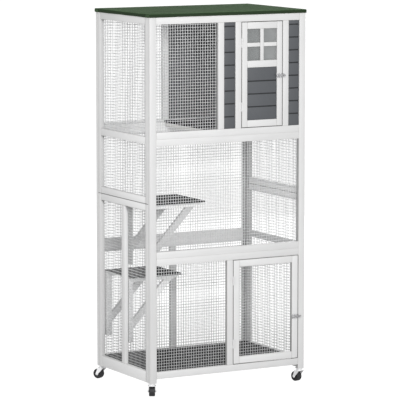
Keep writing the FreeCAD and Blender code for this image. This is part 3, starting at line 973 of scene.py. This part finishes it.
def facing(normal, along):
    """Euler turn that takes +Z to a normal and +X to a direction along the surface."""
    z = Vector(normal).normalized()
    x = Vector(along).normalized()
    return Matrix((x, z.cross(x), z)).transposed().to_euler()


TO_FRONT = facing(FRONT, (1, 0, 0))


def inset(low, high, axis, by):
    """Two places along an axis, a distance in from the ends of a box."""
    return low[axis] + by, high[axis] - by


def grid(xs, ys, zs, turn):
    """Places of fasteners that all turn the same way."""
    return [((x, y, z), turn) for x in xs for y in ys for z in zs]


def fasten(name, body, slot, places, shape, seed, spin=3.0):
    """Fasteners of one shape on a body. Each place is a point and the turn that aims its fastener."""
    pattern = mesh_of(f"{name}_pattern", shape)
    sample = bpy.data.objects.new(pattern.name, pattern)
    start = bpy.data.meshes.new(name)
    start.from_pydata([place for place, _ in places], [], [])
    aim = start.attributes.new("aim", "FLOAT_VECTOR", "POINT")
    for item, (_, turn) in zip(aim.data, places):
        item.vector = turn
    maker = MAKERS["fasteners"]
    mesh = maker.make(name, start, Fastener=sample, Spin=spin, Seed=seed, Finish=FINISHES[slot])
    bpy.data.objects.remove(sample)
    bpy.data.meshes.remove(pattern)
    place_piece(name, mesh, slot, body, smooth_to=50)


def head(bm, diameter, outline):
    """Rings of a fastener's head, closed underneath, and the topmost ring.

    The outline gives each ring's share of the radius and its height as a share of the diameter.
    """
    angles = [math.tau * step / HEAD_STEPS for step in range(HEAD_STEPS)]
    rings = []
    for share, height in outline:
        radius = share * diameter / 2
        rings.append([
            bm.verts.new((radius * math.cos(a), radius * math.sin(a), height * diameter)) for a in angles
        ])
    for low, high in zip(rings, rings[1:]):
        bridge(bm, low, high)
    bm.faces.new(list(reversed(rings[0])))
    return rings[-1]


def screw_head(diameter):
    """Countersunk screw head with a cross recess, standing on z 0."""
    bm = bmesh.new()
    top = head(bm, diameter, ((1.0, -0.06), (1.0, 0.05), (0.80, 0.12), (0.46, 0.16)))
    # The recess has four arms, two points wide, and is drawn in between them
    floor = []
    for step in range(HEAD_STEPS):
        arm = 0.22 * diameter * (1.0 if step % 4 in (0, 1) else 0.34)
        angle = math.tau * (step - 0.5) / HEAD_STEPS
        floor.append(bm.verts.new((arm * math.cos(angle), arm * math.sin(angle), diameter * 0.02)))
    bridge(bm, top, floor)
    bm.faces.new(floor)
    return bm


def rivet_head(diameter):
    """Domed rivet head, standing on z 0."""
    bm = bmesh.new()
    bm.faces.new(head(bm, diameter, ((1.0, -0.1), (1.0, 0.03), (0.92, 0.14), (0.70, 0.24), (0.36, 0.30))))
    return bm


def staple(width, wire):
    """Crown of a flat wire staple with the shoulders of its two legs, lying on z 0 along X."""
    bm = bmesh.new()
    half = width / 2
    rising = [(-half - wire * 0.2, -0.6), (-half, 0.75), (-half + wire * 0.9, 1.1)]
    outline = rising + [(-x, z) for x, z in reversed(rising)]
    near, far = [[bm.verts.new((x, y * wire, z * wire)) for x, z in outline] for y in (-0.75, 0.75)]
    bridge(bm, near, far)
    bm.faces.new(list(reversed(near)))
    bm.faces.new(far)
    bmesh.ops.recalc_face_normals(bm, faces=bm.faces[:])
    return bm


# Pieces


class Dress:
    """Shared base of the operators that dress one group of pieces."""

    bl_options = {"REGISTER", "UNDO"}

    def execute(self, context):
        self.build(context.scene.cat_enclosure)
        return {"FINISHED"}


class ENCLOSURE_OT_finishes(Dress, Operator):
    """Make the finishes and the node trees that the pieces share"""

    bl_idname = "enclosure.finishes"
    bl_label = "Finishes"

    def build(self, settings):
        make_finishes(settings)
        MAKERS.update(net=net_maker(), fasteners=fastener_maker())


class ENCLOSURE_OT_timber(Dress, Operator):
    """Dress the painted sticks of the frame, the shelves and the doors"""

    bl_idname = "enclosure.timber"
    bl_label = "Painted Timber"

    screw_inset = 0.032
    screw_heights = (0.16, 0.48, 0.80, 0.95, 1.30, 1.62)

    def build(self, settings):
        timber = settings.timber
        arrises = {
            "side_middle_rails": timber.open_arris,
            "upper_rails": timber.tight_arris,
            "lower_rails": timber.tight_arris,
        }
        for node in nodes_in("white_paint"):
            if node not in HINGES:
                dress(node, "painted", arrises.get(node, timber.arris), marks=light_and_shade_of(node))
        self.screw_sides(settings.hardware)

    def screw_sides(self, hardware):
        """Painted screws that hold the side panels to the front and rear panels."""
        rows = inset(OUTER_LOW, OUTER_HIGH, 1, self.screw_inset)
        places = []
        for side, x in ((-1, OUTER_LOW.x), (1, OUTER_HIGH.x)):
            places += grid((x,), rows, self.screw_heights, facing((side, 0, 0), (0, 1, 0)))
        fasten("panel_screws", "frame", "white_paint", places, screw_head(hardware.screw), seed=4)


class ENCLOSURE_OT_boarding(Dress, Operator):
    """Dress the grooved boarding of the resting place and the bare boards"""

    bl_idname = "enclosure.boarding"
    bl_label = "Boarding"

    def build(self, settings):
        arris = settings.timber.board_arris
        for node in nodes_in("grey_paint"):
            dress(node, "grooved", arris, marks=shade_rear_wall if node == "rear_siding" else shade_grooves)
        for node in nodes_in("bare_wood"):
            dress(node, "bare", arris)


class ENCLOSURE_OT_net(Dress, Operator):
    """Weave the welded net of the walls and the lower door, and staple it to the rails"""

    bl_idname = "enclosure.net"
    bl_label = "Welded Net"

    # Depths in wires: upright wires behind the outer face, level wires and then staple crowns behind those
    upright_depth, level_depth, crown_depth = 0.42, 0.68, 0.15
    staple_inset = 0.005

    def build(self, settings):
        net = settings.net
        zinc = FINISHES["galvanised_wire"]
        staples = {}
        for node in nodes_in("galvanised_wire"):
            points, lines = [], []
            for low, high in boxes_of(node):
                self.lay(net, low, high, points, lines, staples.setdefault(BODY_OF[node], []))
            start = bpy.data.meshes.new(node)
            start.from_pydata(points, lines, [])
            sizes = {"Wire": net.wire, "Wander": net.wander, "Seed": net.seed}
            mesh = MAKERS["net"].make(f"welded_{node}", start, Finish=zinc, **sizes)
            self.press(mesh, *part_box(node), net.depth)
            place_piece(mesh.name, mesh, "galvanised_wire", BODY_OF[node], node, smooth_to=80)
        for body, places in staples.items():
            shape = staple(net.staple, net.staple_wire)
            fasten(f"staples_{body}", body, "zinc", places, shape, seed=net.seed, spin=0.7)

    def thin_axis(self, low, high):
        """Axis through a net, and the place of its middle plane."""
        axis = 0 if high.x - low.x < high.y - low.y else 1
        return axis, (low[axis] + high[axis]) / 2

    def press(self, mesh, low, high, depth):
        """Flattens a net towards its middle plane, as the welds sink one wire into the other."""
        through, plane = self.thin_axis(low, high)
        for vertex in mesh.vertices:
            vertex.co[through] = plane + (vertex.co[through] - plane) * depth

    def lay(self, net, low, high, points, lines, staples):
        """Centre lines of one net's wires, its welds, and its staples along the bottom and top rails."""
        through, plane = self.thin_axis(low, high)
        across = 1 - through
        outside = -1 if plane < 0 else 1
        inward = -outside * net.wire
        upright = (high if outside > 0 else low)[through] + inward * self.upright_depth
        level = upright + inward * self.level_depth
        crown = plane + (level + inward * self.crown_depth - plane) * net.depth

        def at(u, depth, z):
            point = [0.0, 0.0, z]
            point[across], point[through] = u, depth
            return tuple(point)

        def stations(start, end, pitch):
            count = int((end - start - net.wire) / pitch)
            first = (start + end - count * pitch) / 2
            return [first + step * pitch for step in range(count + 1)]

        def stretch(start, end):
            lines.append((len(points), len(points) + 1))
            points.extend((start, end))

        left, right = low[across], high[across]
        columns = stations(left, right, net.pitch)
        rows = stations(low.z, high.z, net.rise)
        for u in columns:
            stretch(at(u, upright, low.z), at(u, upright, high.z))
        for z in rows:
            stretch(at(left, level, z), at(right, level, z))
        points.extend(at(u, (upright + level) / 2, z) for u in columns for z in rows)

        turn = facing(along_axis(through, -outside), along_axis(across))
        count = max(2, round((right - left) / net.staple_spacing))
        for step in range(count):
            near = left + (step + 0.5) * (right - left) / count
            u = min(columns, key=lambda column: abs(column - near))
            staples.extend((at(u, crown, z), turn) for z in inset(low, high, 2, self.staple_inset))


class ENCLOSURE_OT_felt(Dress, Operator):
    """Lay the felt on the floors and shelves, and fold the roof felt over the deck"""

    bl_idname = "enclosure.felt"
    bl_label = "Felt"

    def build(self, settings):
        felt = settings.felt
        left, right, front, rear = (0, -1), (0, 1), (1, -1), (1, 1)
        low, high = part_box("bottom_felt")
        piece = self.cover("bottom_felt", "laid_bottom_felt", low, high, (), felt)
        low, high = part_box("rest_felt")
        low.x -= felt.sheet
        low.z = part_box("rest_floor")[0].z
        self.fold("rest_felt", "folded_rest_felt", low, high, (left,), felt, "bare_rest_floor")
        for shelf, box in zip(("upper", "lower"), boxes_of("shelf_felts")):
            name, board = f"folded_{shelf}_shelf_felt", f"painted_{shelf}_shelf"
            self.fold("shelf_felts", name, *box, (right, front, rear), felt, board)
        folds = (left, right, front, rear)
        self.fold("roof_felt", "folded_roof_felt", *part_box("roof_felt"), folds, felt, "bare_roof_deck")

    def cover(self, node, name, low, high, folds, felt):
        """Piece of felt in place of a node, with laps at the corners of the roof."""
        mesh = fold_felt(name, low, high, folds, felt)
        if node == "roof_felt":
            for sides in ((-1, -1), (-1, 1), (1, -1), (1, 1)):
                add_solid(mesh, corner_lap(low, high, sides, felt))
        return place_piece(name, mesh, SLOT_OF[node], BODY_OF[node], node)

    def fold(self, node, name, low, high, folds, felt, board):
        """Folded piece of felt."""
        piece = self.cover(node, name, low, high, folds, felt)
        folds_x = sum(axis == 0 for axis, _ in folds)


class ENCLOSURE_OT_window(Dress, Operator):
    """Fit the clear sheet in the window of the upper door"""

    bl_idname = "enclosure.window"
    bl_label = "Window"

    def build(self, settings):
        dress("upper_door_pane", "clear", settings.hardware.arris)


class ENCLOSURE_OT_hardware(Dress, Operator):
    """Dress the hinges, latches and casters, and drive their screws"""

    bl_idname = "enclosure.hardware"
    bl_label = "Hardware"

    # A point of a hinge leaf that is this near the wood is on its back
    seat = 0.0001
    # Thickness of the plates that the screws stand on
    leaf, latch_plate, caster_plate = 0.0012, 0.0015, 0.003
    # Distance of the screws from the ends of a leaf, a latch plate and a keeper, and from a caster's middle
    leaf_inset, latch_inset, keeper_inset, caster_reach = 0.008, (0.009, 0.0028), 0.0026, 0.0118
    # Side of a wheel from its hub to its tread, as shares of the radius and of half the width
    wheel_side = (
        (0.27, 1.0), (0.30, 0.97), (0.32, 0.80), (0.62, 0.76), (0.68, 0.84), (0.76, 0.95), (0.85, 0.985),
        (0.92, 0.95), (0.97, 0.86), (0.995, 0.70), (1.0, 0.50), (1.0, 0.17),
    )
    # Where its tread begins, as shares of half the width and of the radius
    tread_width, tread_radius = 0.7, 0.9
    wheel_steps = 48

    def build(self, settings):
        hardware = settings.hardware
        for node in nodes_in("zinc"):
            finish = "latch_zinc" if "latch" in node else "zinc"
            dress(node, "plated", hardware.arris, segments=1, finish=finish)
        for node in HINGES:
            dress(node, "painted", hardware.arris, segments=1)
            self.screw_hinges(node, hardware)
        for name in ("upper", "lower"):
            self.screw_latch(name, hardware)
        self.screw_plates(hardware)
        joints = {joint["name"]: joint for joint in frame["record"]["behaviour"]["joints"]}
        for node in nodes_in("tyre"):
            self.turn_wheel(node, joints[node.replace("caster_wheel", "roll")], hardware)

    def screw_hinges(self, node, hardware):
        """Two painted screws through each leaf of a hinge."""
        places = []
        for triangles in solids_of(node):
            low, high = box_of(triangles)
            points = [point for triangle in triangles for point in triangle]
            seated = [x for x, y, _ in points if y > high.y - self.seat]
            x = (min(seated) + max(seated)) / 2
            places += grid((x,), (high.y - self.leaf,), inset(low, high, 2, self.leaf_inset), TO_FRONT)
        shape = screw_head(hardware.hinge_screw)
        fasten(f"screws_{node}", BODY_OF[node], "white_paint", places, shape, seed=5)

    def screw_latch(self, name, hardware):
        """Screws in the corners of a latch plate and in the flanges of its keeper."""
        low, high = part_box(f"{name}_latch_base")
        faces = (high.y - self.latch_plate,)
        dx, dz = self.latch_inset
        corners = grid(inset(low, high, 0, dx), faces, inset(low, high, 2, dz), TO_FRONT)
        shape = screw_head(hardware.latch_screw)
        fasten(f"screws_{name}_latch", f"{name}_door", "zinc", corners, shape, seed=6)
        for start, end in boxes_of("latch_keepers"):
            if low.z < end.z and start.z < high.z:
                rows = inset(start, end, 2, self.keeper_inset)
                flanges = grid(((start.x + end.x) / 2,), faces, rows, TO_FRONT)
                shape = screw_head(hardware.latch_screw)
                fasten(f"screws_{name}_keeper", "frame", "zinc", flanges, shape, seed=7)

    def screw_plates(self, hardware):
        """Four screws up through each caster plate."""
        reach = self.caster_reach
        places = []
        for low, high in boxes_of("caster_plates"):
            x, y, _ = (low + high) / 2
            faces = (high.z - self.caster_plate,)
            places += grid((x - reach, x + reach), (y - reach, y + reach), faces, facing(-UP, (1, 0, 0)))
        fasten("screws_caster_plates", "frame", "zinc", places, screw_head(hardware.plate_screw), seed=8)

    def turn_wheel(self, node, joint, hardware):
        """Wheel with a rounded tyre, sunk sides and a hub, and rivet heads on the ends of its axle."""
        centre, axis = Vector(joint["pos_m"]), Vector(joint["axis"]).normalized()

        def spread(place):
            """Distance from the wheel's middle plane and from its axle."""
            offset = place - centre
            aside = offset.dot(axis)
            return abs(aside), (offset - axis * aside).length

        asides, radii = zip(*(spread(vertex.co) for vertex in frame["nodes"][node].data.vertices))
        half, radius, bore = max(asides), max(radii), min(radii)
        side = [(bore, half)] + [(r * radius, h * half) for r, h in self.wheel_side]
        bm = turn_profile(side + [(r, -h) for r, h in reversed(side)], centre, axis, self.wheel_steps)
        tread = bm.faces.layers.float.new("tread")
        for face in bm.faces:
            aside, out = spread(middle(face))
            if aside < self.tread_width * half and out > self.tread_radius * radius:
                face[tread] = 1.0
        name = f"rubber_{node}"
        place_piece(name, mesh_of(name, bm), "tyre", BODY_OF[node], node, smooth_to=50)
        fork = node.replace("wheel", "fork")
        reach = max(spread(vertex.co)[0] for vertex in frame["nodes"][fork].data.vertices)
        ends = [(centre + axis * reach * sign, facing(axis * sign, UP)) for sign in (-1, 1)]
        fasten(f"rivets_{fork}", BODY_OF[fork], "zinc", ends, rivet_head(hardware.rivet), seed=9)


class ENCLOSURE_OT_stage(Dress, Operator):
    """Set the studio floor, the soft lights and the camera"""

    bl_idname = "enclosure.stage"
    bl_label = "Studio"

    # Place, target and size of each softbox
    lights = {
        "front_key": ((-1.5, -5.0, 2.4), (0, 0, 1.2), 1.2),
        "side_key": ((-6.0, 0.4, 1.9), (0, 0, 1.0), 3.0),
        "back_key": ((3.9, 4.3, 1.3), (0, 0, 1.0), 2.0),
    }

    def build(self, settings):
        stage = settings.stage
        self.lay_floor(stage)
        self.light_sky(stage)
        for name, (place, target, size) in self.lights.items():
            light = bpy.data.lights.new(name.replace("_", " ").title(), "AREA")
            light.energy = getattr(stage, name)
            light.size = size
            lamp = link(light.name, light)
            lamp.location = place
            lamp.rotation_euler = (Vector(target) - Vector(place)).to_track_quat("-Z", "Y").to_euler()
        self.set_camera()
        bpy.context.scene.view_settings.view_transform = "Standard"

    def lay_floor(self, stage):
        bm = bmesh.new()
        bmesh.ops.create_grid(bm, x_segments=4, y_segments=4, size=60)
        mesh = mesh_of("studio_floor", bm)
        finish = Finish("Studio Floor")
        mottle = finish.noise(finish.place(), 1.2, detail=2)
        mesh.materials.append(finish.surface(
            Base_Color=finish.mix(mottle, rgba(stage.floor, 0.99), rgba(stage.floor, 1.01)),
            Roughness=0.9,
            Emission_Color=(1, 1, 1, 1),
            Emission_Strength=0.97,
        ))
        floor = link("studio_floor", mesh)
        floor.visible_diffuse = False
        floor.visible_glossy = False

    def light_sky(self, stage):
        """White backdrop, and a weaker light from it on the object."""
        world = bpy.data.worlds.new("Studio")
        world.use_nodes = True
        sky = Tree(world.node_tree)
        seen = sky.node("ShaderNodeLightPath", output="Is Camera Ray")
        strength = seen * (1 - stage.sky) + stage.sky
        sky.fill(world.node_tree.nodes["Background"], {"Color": (1, 1, 1, 1), "Strength": strength})
        bpy.context.scene.world = world

    def set_camera(self):
        camera = link("Camera", bpy.data.cameras.new("Camera"))
        camera.data.lens = 246.15
        camera.data.sensor_width = 36
        camera.data.clip_end = 200
        camera.location = (-6.008, -10.926, 2.435)
        camera.rotation_euler = Euler((math.radians(82.71), 0, math.radians(-28.8)))
        bpy.context.scene.camera = camera


# Add-on

OPERATORS = (
    ENCLOSURE_OT_finishes,
    ENCLOSURE_OT_timber,
    ENCLOSURE_OT_boarding,
    ENCLOSURE_OT_net,
    ENCLOSURE_OT_felt,
    ENCLOSURE_OT_window,
    ENCLOSURE_OT_hardware,
    ENCLOSURE_OT_stage,
)


class ENCLOSURE_PT_panel(Panel):
    """Sizes, colours and pieces of the enclosure"""

    bl_label = "Cat Enclosure"
    bl_idname = "ENCLOSURE_PT_panel"
    bl_space_type = "VIEW_3D"
    bl_region_type = "UI"
    bl_category = "Cat Enclosure"

    def draw(self, context):
        settings = context.scene.cat_enclosure
        for group in ("timber", "net", "felt", "hardware", "stage"):
            box = self.layout.box()
            box.label(text=group.capitalize())
            for name in getattr(settings, group).__annotations__:
                box.prop(getattr(settings, group), name)
        for operator in OPERATORS:
            self.layout.operator(operator.bl_idname)


CLASSES = (
    TimberSettings,
    NetSettings,
    FeltSettings,
    HardwareSettings,
    StageSettings,
    EnclosureSettings,
    *OPERATORS,
    ENCLOSURE_PT_panel,
)


def register():
    for item in CLASSES:
        bpy.utils.register_class(item)
    bpy.types.Scene.cat_enclosure = PointerProperty(type=EnclosureSettings)


def unregister():
    del bpy.types.Scene.cat_enclosure
    for item in reversed(CLASSES):
        bpy.utils.unregister_class(item)


def main():
    register()
    for operator in OPERATORS:
        group, name = operator.bl_idname.split(".")
        getattr(getattr(bpy.ops, group), name)()


if __name__ == "__main__":
    main()
